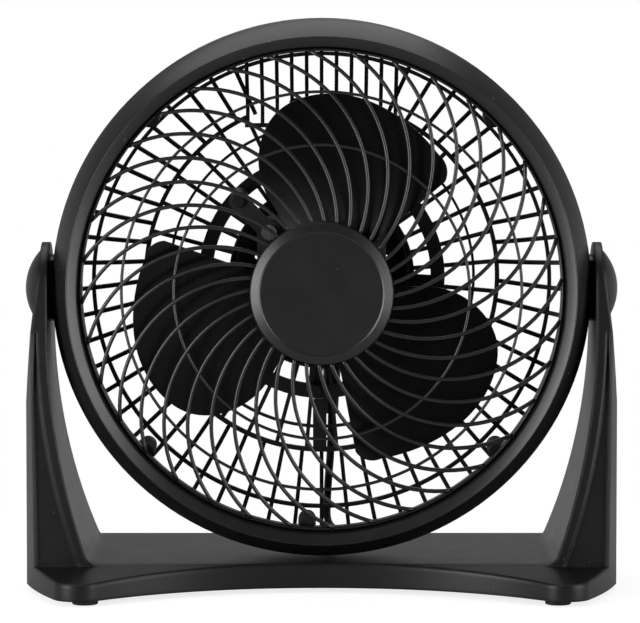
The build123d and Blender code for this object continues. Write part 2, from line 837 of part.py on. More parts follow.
# === Motor ===========================================================================
stack_rear = stack_front - stack_thickness
pole_shoe = 2.0
motor_screw_circle = motor_screw_offset * sqrt(2)
with BuildPart() as stator_stack:
    with BuildSketch(FACE.offset(stack_rear)):
        RectangleRounded(stack_size, stack_size, 5.0)
        Circle(stator_slot_radius, mode=Mode.SUBTRACT)
        with PolarLocations((stator_bore_radius + stator_slot_radius) / 2 + 0.5, 4):
            Rectangle(stator_slot_radius - stator_bore_radius + 1.0, pole_width)
        Circle(stator_bore_radius + pole_shoe)
        Circle(stator_bore_radius, mode=Mode.SUBTRACT)
        with PolarLocations(stator_bore_radius + pole_shoe / 2, 4, start_angle=45):
            Rectangle(2 * pole_shoe, 3.0, mode=Mode.SUBTRACT)
        with GridLocations(2 * motor_screw_offset, 2 * motor_screw_offset, 2, 2):
            Circle(motor_screw_radius + screw_gap, mode=Mode.SUBTRACT)
    extrude(amount=stack_thickness)
stator_stack.part.label = "stator_stack"
export_step(stator_stack.part, "parts/stator_stack.step")

coil_foot = stator_bore_radius + pole_shoe + fit_gap
coil_half = pole_width / 2 + coil_build
coil_head = sqrt((stator_slot_radius - fit_gap) ** 2 - coil_half**2)
stack_middle = (stack_front + stack_rear) / 2
over_pole = Plane(
    origin=FACE.from_local_coords((0, coil_foot, stack_middle)), x_dir=FACE.x_dir, z_dir=FACE.y_dir
)
with BuildPart() as pole_coil:
    with BuildSketch(over_pole):
        RectangleRounded(2 * coil_half, stack_thickness + 2 * coil_build, 3.5)
        Rectangle(pole_width + 0.4, stack_thickness + 0.4, mode=Mode.SUBTRACT)
    extrude(amount=coil_head - coil_foot)

with BuildPart() as stator_coils:
    add(around_axis(pole_coil.part, even(4)))
stator_coils.part.label = "stator_coils"
export_step(stator_coils.part, "parts/stator_coils.step")

rotor_radius = stator_bore_radius - rotor_gap
rotor_rear = stack_rear + 0.6
rotor_front = stack_front - 0.6
with BuildPart() as rotor:
    add(
        revolved([
            (shaft_radius + running_gap / 2, rotor_rear),
            (5.0, rotor_rear),
            (6.0, rotor_rear + 1.5),
            (10.5, rotor_rear + 1.5),
            (11.0, rotor_rear),
            (rotor_radius, rotor_rear),
            (rotor_radius, rotor_front),
            (11.0, rotor_front),
            (10.5, rotor_front - 1.5),
            (6.0, rotor_front - 1.5),
            (5.0, rotor_front),
            (shaft_radius + running_gap / 2, rotor_front),
        ])
    )
rotor.part.label = "rotor"
export_step(rotor.part, "parts/rotor.step")

with BuildPart() as shaft:
    with BuildSketch(FACE.offset(shaft_rear)):
        Circle(shaft_radius)
    extrude(amount=shaft_front - shaft_rear)
    chamfer(shaft.edges().filter_by(GeomType.CIRCLE), 0.4)
shaft.part.label = "shaft"
export_step(shaft.part, "parts/shaft.step")


def bracket(seat, outward, with_mounts):
    """Cast end bracket: arms on the diagonals and a bearing hub. outward is 1 or -1."""
    reach = joint_circle if with_mounts else motor_screw_circle
    with BuildPart() as cast:
        with BuildSketch(FACE.offset(seat)):
            Circle(bracket_hub_radius + 2.0)
            with PolarLocations(reach / 2, 4, start_angle=45):
                Rectangle(reach, bracket_arm_width)
            with PolarLocations(reach, 4, start_angle=45):
                Circle(bracket_arm_width / 2)
            with PolarLocations(motor_screw_circle, 4, start_angle=45):
                Circle(bracket_arm_width / 2 + 1.2)
            with PolarLocations(motor_screw_circle, 4, start_angle=45):
                Circle(motor_screw_radius + screw_gap, mode=Mode.SUBTRACT)
            if with_mounts:
                with PolarLocations(reach, 4, start_angle=45):
                    Circle(joint_screw_radius + screw_gap, mode=Mode.SUBTRACT)
        extrude(amount=outward * bracket_thickness)
        with BuildSketch(FACE.offset(seat)):
            Circle(bracket_hub_radius)
        extrude(amount=outward * bracket_hub_length, taper=4)
        with BuildSketch(FACE.offset(seat + outward * (bracket_hub_length - bearing_length))):
            Circle(bearing_radius + running_gap)
        extrude(amount=outward * (bearing_length + 1), mode=Mode.SUBTRACT)
        with BuildSketch(FACE.offset(seat - outward)):
            Circle(shaft_radius + 1.0)
        extrude(amount=outward * bracket_hub_length, mode=Mode.SUBTRACT)
    return cast.part


with BuildPart() as front_bracket:
    add(bracket(stack_front, 1, True))
front_bracket.part.label = "front_bracket"
export_step(front_bracket.part, "parts/front_bracket.step")

with BuildPart() as rear_bracket:
    add(bracket(stack_rear, -1, False))
rear_bracket.part.label = "rear_bracket"
export_step(rear_bracket.part, "parts/rear_bracket.step")

front_bearing_rear = stack_front + bracket_hub_length - bearing_length
rear_bearing_rear = stack_rear - bracket_hub_length
with BuildPart() as bearings:
    for rear in (front_bearing_rear, rear_bearing_rear):
        add(tube(shaft_radius + running_gap, bearing_radius, rear, rear + bearing_length))
bearings.part.label = "bearings"
export_step(bearings.part, "parts/bearings.step")


def at_points(piece, points):
    """Copies of a piece drawn on the fan's axis, moved to points of the FACE plane."""
    return [Pos(*(FACE.x_dir * x + FACE.y_dir * y)) * piece for x, y in points]


nut_thickness = 2.6
nut_seat = stack_rear - bracket_thickness
motor_screw_points = [clockwise(motor_screw_circle, a) for a in even(4, 45.0)]
motor_screw = turned_stud(
    FACE.offset(nut_seat - nut_thickness - 0.4),
    [(motor_screw_radius, stack_thickness + 2 * bracket_thickness + nut_thickness + 0.4), (3.6, 2.4)],
)
with BuildPart() as motor_screws:
    add(at_points(motor_screw, motor_screw_points))
motor_screws.part.label = "motor_screws"
export_step(motor_screws.part, "parts/motor_screws.step")

with BuildPart() as motor_nuts:
    with BuildSketch(FACE.offset(nut_seat)):
        with Locations(*motor_screw_points):
            RegularPolygon(4.0, 6)
            Circle(motor_screw_radius + running_gap, mode=Mode.SUBTRACT)
    extrude(amount=-nut_thickness)
motor_nuts.part.label = "motor_nuts"
export_step(motor_nuts.part, "parts/motor_nuts.step")


def small_screw(seat, length, way):
    """Pan-head screw on the fan's axis, its head on the seat. way is 1 if it points forward."""
    shank = turned_stud(
        Plane(origin=FACE.offset(seat).origin, x_dir=FACE.x_dir, z_dir=FACE.z_dir * way),
        [(joint_screw_radius, length)],
    )
    head = turned_stud(
        Plane(origin=FACE.offset(seat).origin, x_dir=FACE.x_dir, z_dir=FACE.z_dir * -way),
        [(2.8, 1.8)],
    )
    return shank + head


with BuildPart() as motor_mount_screws:
    add(at_points(small_screw(stack_front + bracket_thickness, 10.0, -1), mount_points))
motor_mount_screws.part.label = "motor_mount_screws"
export_step(motor_mount_screws.part, "parts/motor_mount_screws.step")

with BuildPart() as grille_screws:
    add(at_points(small_screw(rim_rear, 15.0, 1), joint_points))
grille_screws.part.label = "grille_screws"
export_step(grille_screws.part, "parts/grille_screws.step")

# === Impeller ========================================================================
blade_middle = blade_lead_angle + 38.0
# distance along the blade's middle line, and slope of its section there
blade_sections = ((12.0, 0.44), (40.0, 0.27), (66.0, 0.155), (94.0, 0.11))


def blade_section(distance, slope):
    """Section across the blade. Its leading edge is at negative x and lies to the rear."""
    radial = FACE.x_dir * sin(radians(blade_middle)) + FACE.y_dir * cos(radians(blade_middle))
    clockwise_dir = FACE.x_dir * cos(radians(blade_middle)) - FACE.y_dir * sin(radians(blade_middle))
    plane = Plane(
        origin=FACE.origin + radial * distance + FACE.z_dir * blade_middle_depth,
        x_dir=clockwise_dir,
        z_dir=-radial,
    )
    half = blade_half_chord
    rear_end = -half * slope + blade_camber
    front_end = half * slope + blade_camber
    with BuildSketch(plane) as section:
        with BuildLine():
            ThreePointArc((-half, rear_end), (0, 0), (half, front_end))
            Line((half, front_end), (half, front_end + blade_thickness))
            ThreePointArc(
                (half, front_end + blade_thickness),
                (0, blade_thickness),
                (-half, rear_end + blade_thickness),
            )
            Line((-half, rear_end + blade_thickness), (-half, rear_end))
        make_face()
    return section.sketch


def leaf_point(radius, angle):
    """Point of the blade's outline. The angle counts from its leading edge."""
    return clockwise(radius, blade_lead_angle + angle)


with BuildPart() as blade:
    loft([blade_section(distance, slope) for distance, slope in blade_sections])
    with BuildSketch(FACE.offset(-30)) as leaf:
        with BuildLine():
            Line(leaf_point(impeller_hub_radius - 2, 0), leaf_point(50, 0))
            Spline(
                leaf_point(50, 0),
                leaf_point(64, 3.2),
                leaf_point(76, 9.1),
                leaf_point(85.5, 17),
                leaf_point(90.3, 27),
                leaf_point(blade_tip_radius, 37.5),
                leaf_point(89.4, 50),
                leaf_point(83.4, 71),
            )
            ThreePointArc(leaf_point(83.4, 71), leaf_point(81.0, 76.2), leaf_point(76.5, 78.6))
            Polyline(
                leaf_point(76.5, 78.6),
                leaf_point(impeller_hub_radius - 2, 75.5),
                leaf_point(impeller_hub_radius - 2, 0),
            )
        make_face()
    extrude(amount=70, mode=Mode.INTERSECT)

hub_wall = 2.4
with BuildPart() as impeller:
    with BuildSketch(SECTION):
        with BuildLine():
            Polyline(
                (shaft_radius + running_gap, 0.0),
                (impeller_collar_radius, 0.0),
                (impeller_collar_radius, impeller_hub_front - hub_wall),
                (impeller_hub_radius - hub_wall, impeller_hub_front - hub_wall),
                (impeller_hub_radius - hub_wall, impeller_hub_rear),
                (impeller_hub_radius, impeller_hub_rear),
                (impeller_hub_radius, impeller_hub_front - 3.0),
                (impeller_hub_radius - 3.0, impeller_hub_front),
                (shaft_radius + running_gap, impeller_hub_front),
                close=True,
            )
        make_face()
    revolve(axis=FAN_AXIS)
    with BuildSketch(FACE.offset(impeller_hub_front - hub_wall)):
        with PolarLocations((impeller_collar_radius + impeller_hub_radius - hub_wall) / 2, 6):
            Rectangle(impeller_hub_radius - hub_wall - impeller_collar_radius + 0.6, 1.4)
    extrude(amount=-8.0)
    add(around_axis(blade.part, even(blade_count)))
impeller.part.label = "impeller"
export_step(impeller.part, "parts/impeller.step")

with BuildPart() as hub_clip:
    add(tube(impeller_collar_radius + running_gap, impeller_collar_radius + 0.9, 0.4, 3.2))
hub_clip.part.label = "hub_clip"
export_step(hub_clip.part, "parts/hub_clip.step")

# === Rear cover ======================================================================
cover_seat = ring_rear
bend_mid = cover_bend * (1 - sqrt(0.5))
inner_back = cover_back + cover_wall
relief_plane = Plane(
    origin=FACE.from_local_coords((relief_x, -(cover_radius - 6.0), relief_depth)),
    x_dir=FACE.x_dir,
    z_dir=-FACE.y_dir,
)
with BuildPart() as rear_cover:
    with BuildSketch(SECTION):
        with BuildLine():
            Polyline((0, cover_back), (cover_back_radius - cover_bend, cover_back))
            ThreePointArc(
                (cover_back_radius - cover_bend, cover_back),
                (cover_back_radius - bend_mid, cover_back + bend_mid),
                (cover_back_radius, cover_back + cover_bend),
            )
            Polyline(
                (cover_back_radius, cover_back + cover_bend),
                (cover_radius, cover_seat),
                (cover_radius - cover_wall, cover_seat),
                (cover_back_radius - cover_wall, cover_back + cover_bend),
            )
            Polyline(
                (cover_back_radius - cover_wall, cover_back + cover_bend),
                (cover_back_radius - cover_bend, inner_back),
                (0, inner_back),
                (0, cover_back),
            )
        make_face()
    revolve(axis=FAN_AXIS)
    with BuildSketch(FACE.offset(cover_seat)):
        with Locations(*cover_screw_points):
            Circle(cover_ear_width / 2)
        with PolarLocations((cover_radius + joint_circle) / 2 - 0.6, 4, start_angle=90 - cover_ear_start):
            Rectangle(joint_circle - cover_radius + 1.2, cover_ear_width)
        with Locations(*cover_screw_points):
            Circle(joint_screw_radius + screw_gap, mode=Mode.SUBTRACT)
    extrude(amount=-cover_ear_thickness)
    with BuildSketch(FACE.offset(cover_back - 1)):
        with PolarLocations(vent_circle, vent_count):
            SlotOverall(vent_length, vent_width)
    extrude(amount=cover_wall + 2, mode=Mode.SUBTRACT)
    with BuildSketch(FACE.offset(cover_back - 1)):
        Circle(spindle_radius + 0.5)
    extrude(amount=cover_wall + 2, mode=Mode.SUBTRACT)
    with BuildSketch(relief_plane):
        Circle(relief_root_radius - 0.8 + fit_gap / 2)
    extrude(amount=12, mode=Mode.SUBTRACT)
rear_cover.part.label = "rear_cover"
export_step(rear_cover.part, "parts/rear_cover.step")

with BuildPart() as cover_screws:
    add(at_points(small_screw(cover_seat - cover_ear_thickness, 9.0, 1), cover_screw_points))
cover_screws.part.label = "cover_screws"
export_step(cover_screws.part, "parts/cover_screws.step")

# --- Speed switch and knob -----------------------------------------------------------
switch_front = inner_back + switch_length - 1.5
spindle_front = switch_front - 3.0
knob_back = cover_back - knob_gap - knob_length
with BuildPart() as speed_switch:
    add(tube(spindle_radius + running_gap, switch_radius, inner_back, switch_front - 1.5))
    add(tube(0, switch_radius, switch_front - 1.6, switch_front))
    with BuildSketch(FACE.offset(switch_front)):
        with PolarLocations(7.0, 4, start_angle=45):
            Rectangle(0.8, 3.2)
    extrude(amount=2.4)
speed_switch.part.label = "speed_switch"
export_step(speed_switch.part, "parts/speed_switch.step")

with BuildPart() as switch_spindle:
    with BuildSketch(FACE.offset(knob_back + 3.0)):
        Circle(spindle_radius)
    extrude(amount=spindle_front - knob_back - 3.0)
switch_spindle.part.label = "switch_spindle"
export_step(switch_spindle.part, "parts/switch_spindle.step")

with BuildPart() as speed_knob:
    with BuildSketch(FACE.offset(cover_back - knob_gap)):
        Circle(knob_radius)
    extrude(amount=-knob_base, taper=3)
    with BuildSketch(FACE.offset(cover_back - knob_base)):
        SlotOverall(2 * knob_radius - 2.4, knob_grip_width, rotation=90)
    extrude(amount=-(knob_length + knob_gap - knob_base), taper=5)
    with BuildSketch(FACE.offset(cover_back)):
        Circle(spindle_radius + running_gap / 2)
    extrude(amount=-(knob_length - 2.4), mode=Mode.SUBTRACT)
    with BuildSketch(FACE.offset(knob_back)):
        with Locations((0, knob_radius - 4.6)):
            Rectangle(1.2, 5.0)
    extrude(amount=0.6, mode=Mode.SUBTRACT)
speed_knob.part.label = "speed_knob"
export_step(speed_knob.part, "parts/speed_knob.step")

# === Cord ============================================================================
cover_at_relief = cover_back_radius + (cover_radius - cover_back_radius) * (
    (relief_depth - cover_back - cover_bend) / (cover_seat - cover_back - cover_bend)
)
relief_out = cover_at_relief - (cover_radius - 6.0) + 0.5      # outer wall along the relief
relief_reach = cover_wall + 4.6      # how far it reaches in past the outer wall
with BuildPart() as strain_relief:
    with BuildSketch(relief_plane.offset(relief_out - relief_reach)):
        Circle(relief_root_radius)
    extrude(amount=2.0)
    with BuildSketch(relief_plane.offset(relief_out - relief_reach)):
        Circle(relief_root_radius - 0.8)
    extrude(amount=relief_reach + 0.4)
    with BuildSketch(relief_plane.offset(relief_out + 0.2)):
        Circle(relief_root_radius + 0.8)
    extrude(amount=1.6)
    with BuildSketch(relief_plane.offset(relief_out + 1.0)):
        Circle(relief_root_radius)
    with BuildSketch(relief_plane.offset(relief_out + relief_length)):
        Circle(relief_tip_radius)
    loft()
strain_relief.part.label = "strain_relief"
export_step(strain_relief.part, "parts/strain_relief.step")
relief_end = relief_plane.offset(relief_out + relief_length)
relief_tip = relief_end.origin


def cord_tube(points, start_plane, name):
    """Round cord along straight runs that are joined by arcs as large as the runs allow."""
    corners = [Vector(*p) for p in points]
    radii = []
    for before, corner, after in zip(corners, corners[1:], corners[2:]):
        run = min((corner - before).length, (after - corner).length)
        half_turn = radians((corner - before).get_angle(after - corner)) / 2
        radii.append(0.45 * run / tan(half_turn))
    with BuildPart() as cord:
        with BuildLine() as route:
            FilletPolyline(*points, radius=radii)
        with BuildSketch(start_plane):
            Circle(cord_radius)
        sweep()
    length = route.wire().length
    ratio = cord.part.volume / (pi * cord_radius**2 * length)
    print(name, "length", round(length, 1), "volume ratio", round(ratio, 4))
    print(name, "radii", [round(r) for r in radii])
    return cord.part


drop_points = [
    tuple(relief_tip),
    tuple(relief_plane.offset(relief_out + relief_length + 18.0).origin),
    (5.2, 57.0, 43.5),
    (5.6, 67.5, 30.5),
    (7.6, 80.0, 21.6),
    (12.8, 91.5, 14.6),
    (19.4, 102.5, 9.4),
    (24.8, 113.5, 6.7),
    (26.6, 124.0, 6.0),
]
with BuildPart() as cord_drop:
    add(cord_tube(drop_points, relief_end, "cord_drop"))
cord_drop.part.label = "cord_drop"
export_step(cord_drop.part, "parts/cord_drop.step")

# The coil's turns as one ring. Its tie is a closed band that lies in a groove underneath.
COIL = Plane(origin=(*coil_centre, 0), x_dir=(-1, 0, 0), z_dir=(0, 1, 0))
coil_width = coil_outer - coil_inner
coil_mid = (coil_inner + coil_outer) / 2
with BuildPart() as coil_tie:
    with BuildSketch(COIL.offset(-tie_half_width)):
        with Locations((coil_mid, (coil_height + tie_thickness + fit_gap) / 2)):
            Rectangle(coil_width + 2 * (fit_gap + tie_thickness), coil_height + tie_thickness + fit_gap)
        with Locations((coil_mid, (coil_height + tie_thickness + fit_gap) / 2)):
            Rectangle(coil_width + 2 * fit_gap, coil_height + fit_gap - tie_thickness, mode=Mode.SUBTRACT)
    extrude(amount=2 * tie_half_width)
coil_tie.part.label = "coil_tie"
export_step(coil_tie.part, "parts/coil_tie.step")

with BuildPart() as cord_coil:
    with BuildSketch(COIL):
        with Locations((coil_mid, coil_height / 2)):
            RectangleRounded(coil_width, coil_height, cord_radius)
    revolve(axis=Axis((*coil_centre, 0), (0, 0, 1)))
    with BuildSketch(COIL.offset(-tie_half_width - 0.1)):
        with Locations((coil_mid, 0)):
            Rectangle(coil_width + 4, 2 * (tie_thickness + 0.05))
    extrude(amount=2 * tie_half_width + 0.2, mode=Mode.SUBTRACT)
cord_coil.part.label = "cord_coil"
export_step(cord_coil.part, "parts/cord_coil.step")

plug_x = 55.0
plug_y = 91.8
plug_cord_z = 5.0
plug_length = 24.0
plug_shoulder = 9.0       # length over which the plug widens
plug_width = 20.0
plug_height = 10.0
plug_neck_width = 13.0
plug_neck_height = 8.4
plug_corner = 3.0
pin_pitch = 12.7
pin_thickness = 1.5
pin_width = 6.35
pin_length = 16.0
tail_points = [
    (-8.0, 89.5, cord_radius),
    (4.0, 89.0, cord_radius),
    (16.5, 90.2, cord_radius + 0.1),
    (28.5, 91.4, cord_radius + 1.1),
    (plug_x - 14.0, plug_y, plug_cord_z),
    (plug_x - 5.0, plug_y, plug_cord_z),
]
with BuildPart() as cord_tail:
    tail_start = Plane(origin=tail_points[0], z_dir=Vector(*tail_points[1]) - Vector(*tail_points[0]))
    add(cord_tube(tail_points, tail_start, "cord_tail"))
cord_tail.part.label = "cord_tail"
export_step(cord_tail.part, "parts/cord_tail.step")

plug_middle = (plug_y, plug_height / 2)
pin_places = [(plug_y + side * pin_pitch / 2, plug_height / 2) for side in (-1, 1)]
with BuildPart() as plug:
    with BuildSketch(Plane.YZ.offset(plug_x)):
        with Locations(plug_middle):
            RectangleRounded(plug_neck_width, plug_neck_height, plug_corner)
    with BuildSketch(Plane.YZ.offset(plug_x + plug_shoulder)) as plug_section:
        with Locations(plug_middle):
            RectangleRounded(plug_width, plug_height, plug_corner)
    loft()
    extrude(plug_section.sketch, amount=plug_length - plug_shoulder)
    with BuildSketch(Plane.YZ.offset(tail_points[-1][0])):
        with Locations((plug_y, plug_cord_z)):
            Circle(cord_radius + 0.7)
    with BuildSketch(Plane.YZ.offset(plug_x)):
        with Locations((plug_y, plug_cord_z)):
            Circle(cord_radius + 1.6)
    loft()
plug.part.label = "plug"
export_step(plug.part, "parts/plug.step")

with BuildPart() as plug_pins:
    with BuildSketch(Plane.YZ.offset(plug_x + plug_length)):
        with Locations(*pin_places):
            Rectangle(pin_thickness, pin_width)
    extrude(amount=pin_length)
plug_pins.part.label = "plug_pins"
export_step(plug_pins.part, "parts/plug_pins.step")
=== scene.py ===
"""Looks of the table-top air circulator fan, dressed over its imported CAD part.

Metres, in the part's own frame: +Z up, front towards -Y, origin on the table. The head is
tilted, so its pieces are placed in head coordinates: right, up, and depth forward along the
fan's axis from the pivot.
"""

import json
from math import cos, pi, radians, sin, sqrt

import bpy
from mathutils import Matrix, Vector


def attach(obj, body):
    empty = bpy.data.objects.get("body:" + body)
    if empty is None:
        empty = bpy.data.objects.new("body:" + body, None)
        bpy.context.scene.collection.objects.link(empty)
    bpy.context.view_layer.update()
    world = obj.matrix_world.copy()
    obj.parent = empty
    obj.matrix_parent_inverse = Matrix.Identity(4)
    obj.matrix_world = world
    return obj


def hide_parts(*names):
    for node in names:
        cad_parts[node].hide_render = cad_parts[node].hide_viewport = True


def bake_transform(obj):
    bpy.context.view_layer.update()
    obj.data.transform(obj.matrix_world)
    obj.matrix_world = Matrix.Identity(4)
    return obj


MM = 0.001
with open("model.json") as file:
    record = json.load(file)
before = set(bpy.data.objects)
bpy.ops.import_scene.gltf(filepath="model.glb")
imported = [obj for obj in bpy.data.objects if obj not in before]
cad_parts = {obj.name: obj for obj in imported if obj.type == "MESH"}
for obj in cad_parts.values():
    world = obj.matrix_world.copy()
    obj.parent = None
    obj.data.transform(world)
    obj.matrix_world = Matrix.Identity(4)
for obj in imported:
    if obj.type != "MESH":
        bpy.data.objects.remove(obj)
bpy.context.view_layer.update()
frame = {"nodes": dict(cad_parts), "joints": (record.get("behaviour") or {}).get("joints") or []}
joints = {joint["name"]: joint for joint in frame["joints"]}

# --- Head coordinates ----------------------------------------------------------------
fan_centre = Vector(joints["impeller_spin"]["pos_m"])
forward = Vector(joints["impeller_spin"]["axis"]).normalized()
right = Vector((1, 0, 0))
upward = right.cross(forward) * -1


def head_point(x, y, depth):
    """Point of the row frame from head coordinates in millimetres."""
    return fan_centre + (right * x + upward * y + forward * depth) * MM


def head_polar(radius, angle, depth):
    """Head point at a radius and at degrees clockwise from the top, seen from the front."""
    return head_point(radius * sin(radians(angle)), radius * cos(radians(angle)), depth)


# === Materials =======================================================================
mix_sockets = {"FLOAT": (2, 3, 0), "VECTOR": (4, 5, 1), "RGBA": (6, 7, 2)}     # two inputs and the output


class Nodes:
    """A node tree that is built up step by step."""

    def __init__(self, tree):
        self.tree = tree

    def add(self, kind, **values):
        """New node. Values name its inputs, or else its properties."""
        node = self.tree.nodes.new(kind)
        for key, value in values.items():
            if key in node.inputs:
                self.feed(node.inputs[key], value)
            else:
                setattr(node, key, value)
        return node

    def feed(self, socket, value):
        if isinstance(value, bpy.types.NodeSocket):
            self.tree.links.new(value, socket)
        else:
            socket.default_value = value

    def math(self, operation, *values):
        node = self.add("ShaderNodeMath", operation=operation)
        for socket, value in zip(node.inputs, values):
            self.feed(socket, value)
        return node.outputs[0]

    def multiply(self, a, b):
        return self.math("MULTIPLY", a, b)

    def vector(self, operation, *values):
        """Vector operation. Its result is a number for LENGTH and DOT_PRODUCT."""
        node = self.add("ShaderNodeVectorMath", operation=operation)
        for socket, value in zip(node.inputs, values):
            self.feed(socket, value)
        return node.outputs["Value" if operation in ("LENGTH", "DOT_PRODUCT") else "Vector"]

    def ramp(self, value, low, high):
        """Value mapped from the two (place, level) pairs, held outside them."""
        node = self.add("ShaderNodeMapRange", Value=value)
        node.inputs["From Min"].default_value = low[0]
        node.inputs["From Max"].default_value = high[0]
        node.inputs["To Min"].default_value = low[1]
        node.inputs["To Max"].default_value = high[1]
        return node.outputs["Result"]

    def mix(self, kind, factor, a, b):
        """Between a and b, which are of the kind FLOAT, VECTOR or RGBA."""
        node = self.add("ShaderNodeMix", data_type=kind)
        first, second, result = mix_sockets[kind]
        self.feed(node.inputs[0], factor)
        self.feed(node.inputs[first], a)
        self.feed(node.inputs[second], b)
        return node.outputs[result]


class Shader(Nodes):
    """A material with a Principled surface."""

    def __init__(self, name, roughness, metallic=0.0, specular=0.5):
        self.material = bpy.data.materials.new(name)
        self.material.use_nodes = True
        super().__init__(self.material.node_tree)
        self.surface = self.tree.nodes["Principled BSDF"]
        self.surface.inputs["Roughness"].default_value = roughness
        self.surface.inputs["Metallic"].default_value = metallic
        self.surface.inputs["Specular IOR Level"].default_value = specular
        self.place = self.add("ShaderNodeTexCoord").outputs["Object"]
        self.normal = None

    def noise(self, scale, detail, place=None):
        node = self.add("ShaderNodeTexNoise", Scale=scale, Detail=detail)
        self.feed(node.inputs["Vector"], place or self.place)
        return node.outputs["Fac"]

    def specks(self, scale, size):
        """Sparse round specks, one in 25 cells: 1 inside a speck and 0 elsewhere."""
        cells = self.add("ShaderNodeTexVoronoi", Scale=scale, Vector=self.place)
        small = self.ramp(cells.outputs["Distance"], (size * 0.7, 1.0), (size, 0.0))
        chosen = self.add("ShaderNodeSeparateColor", Color=cells.outputs["Color"])
        rare = self.ramp(chosen.outputs["Red"], (0.955, 0.0), (0.965, 1.0))
        return self.multiply(small, rare)

    def blend(self, factor, a, b):
        """Colour between a and b."""
        a, b = ((*value, 1.0) if isinstance(value, tuple) else value for value in (a, b))
        return self.mix("RGBA", factor, a, b)

    def colour(self, value):
        self.feed(self.surface.inputs["Base Color"], (*value, 1.0) if isinstance(value, tuple) else value)

    def roughness(self, factor, low, high):
        self.feed(self.surface.inputs["Roughness"], self.ramp(factor, (0.3, low), (0.7, high)))

    def rounded_edges(self, radius):
        """Normals that round the sharp edges of a moulding."""
        bevel = self.add("ShaderNodeBevel", samples=4, Radius=radius * MM)
        if self.normal is not None:
            self.feed(bevel.inputs["Normal"], self.normal)
        self.normal = bevel.outputs["Normal"]
        self.feed(self.surface.inputs["Normal"], self.normal)

    def bump(self, height, strength, depth):
        """Bump of a depth in millimetres, on top of the bumps made before."""
        node = self.add("ShaderNodeBump", Strength=strength, Distance=depth * MM, Height=height)
        if self.normal is not None:
            self.feed(node.inputs["Normal"], self.normal)
        self.normal = node.outputs["Normal"]
        self.feed(self.surface.inputs["Normal"], self.normal)


dust_grey = (0.26, 0.26, 0.26)


def shaded(colour, factor):
    return tuple(c * factor for c in colour)


def moulded(name, colour, rough, grain, edge, dust=0.5, specular=0.5, fineness=2300.0, form=None):
    """Injection-moulded plastic: spark-eroded grain, faint flow mottling and a little dust.

    edge is the radius of its rounded edges in millimetres. form changes the material before them.
    """
    s = Shader(name, rough, specular=specular)
    mottle = s.ramp(s.noise(scale=38.0, detail=3.0), (0.35, 0.0), (0.65, 1.0))
    tone = s.blend(mottle, shaded(colour, 0.82), shaded(colour, 1.18))
    s.colour(s.blend(s.multiply(s.specks(scale=420.0, size=0.16), dust), tone, dust_grey))
    s.roughness(s.noise(scale=75.0, detail=4.0), rough - 0.01, rough + 0.02)
    if form:
        form(s)
    s.rounded_edges(edge)
    s.bump(s.noise(scale=fineness, detail=3.0), strength=grain, depth=0.05)
    s.bump(s.noise(scale=55.0, detail=1.0), strength=0.04, depth=0.12)
    return s.material


# The shroud's flank looks straight, and its inside is coarser, with painted shade darkening its colour.
flank_rear = 7.0              # millimetres in depth, and the flank lies in front of it
flank_rear_fade = 2.5
flank_inner = 117.9           # millimetres from the fan's axis, and the flank lies outside it
flank_inner_fade = 0.5
flank_angle = 63.0            # degrees between its normal and the fan's axis
flank_share = 0.68            # of the straight flank. The rest is the solid's own curve.
inside_radius = 112.8
inside_fade = 0.3
inside_rough = 0.75
# painted shade: the darker colour given to the inside of the shroud's mouth
inside_painted_shade = (0.002, 0.002, 0.002)


def shroud_form(s):
    """Straight normals on the shroud's flank, and inside it a coarser finish with a darker colour that is
    painted shade.
    """
    offset = s.vector("SUBTRACT", s.place, fan_centre)
    depth = s.vector("DOT_PRODUCT", offset, forward)
    depths = s.add("ShaderNodeCombineXYZ", X=depth, Y=depth, Z=depth).outputs[0]
    outward = s.vector("SUBTRACT", offset, s.vector("MULTIPLY", depths, forward))
    radius = s.vector("LENGTH", outward)

    slant = sin(radians(flank_angle))
    ahead = forward * cos(radians(flank_angle))
    cone = s.vector("MULTIPLY_ADD", s.vector("NORMALIZE", outward), (slant, slant, slant), ahead)
    turned = s.add("ShaderNodeVectorTransform", vector_type="NORMAL")
    turned.convert_from = "OBJECT"
    turned.convert_to = "WORLD"
    s.feed(turned.inputs[0], cone)
    front_part = s.ramp(depth, (flank_rear * MM, 0.0), ((flank_rear + flank_rear_fade) * MM, flank_share))
    outer_part = s.ramp(radius, (flank_inner * MM, 0.0), ((flank_inner + flank_inner_fade) * MM, 1.0))
    own = s.add("ShaderNodeNewGeometry").outputs["Normal"]
    mixed = s.mix("VECTOR", s.multiply(front_part, outer_part), own, turned.outputs[0])
    s.normal = s.vector("NORMALIZE", mixed)

    # Inside the mouth the roughness is coarser, and the colour there is darkened as painted shade.
    rough_and_painted_shade_inside = s.ramp(radius, ((inside_radius - inside_fade) * MM, 1.0), (inside_radius * MM, 0.0))
    rough = s.surface.inputs["Roughness"]
    s.feed(rough, s.mix("FLOAT", rough_and_painted_shade_inside, rough.links[0].from_socket, inside_rough))
    colour = s.surface.inputs["Base Color"]
    s.colour(s.blend(rough_and_painted_shade_inside, colour.links[0].from_socket, inside_painted_shade))


def rubber(name, colour, rough):
    s = Shader(name, rough, specular=0.35)
    worn = s.noise(scale=260.0, detail=4.0)
    s.colour(s.blend(s.ramp(worn, (0.4, 0.0), (0.7, 1.0)), colour, shaded(colour, 1.5)))
    s.roughness(worn, rough - 0.05, rough + 0.1)
    s.rounded_edges(0.3)
    s.bump(s.noise(scale=1500.0, detail=2.0), strength=0.3, depth=0.06)
    return s.material


def metal(name, colour, rough):
    """Metal with fine marks drawn out along z."""
    s = Shader(name, rough, metallic=1.0)
    stretched = s.add("ShaderNodeMapping", Vector=s.place)
    stretched.inputs["Scale"].default_value = (900.0, 900.0, 60.0)
    marks = s.noise(scale=1.0, detail=5.0, place=stretched.outputs["Vector"])
    s.colour(s.blend(marks, shaded(colour, 0.75), colour))
    s.roughness(marks, rough - 0.06, rough + 0.12)
    s.rounded_edges(0.15)
    s.bump(marks, strength=0.15, depth=0.03)
    return s.material


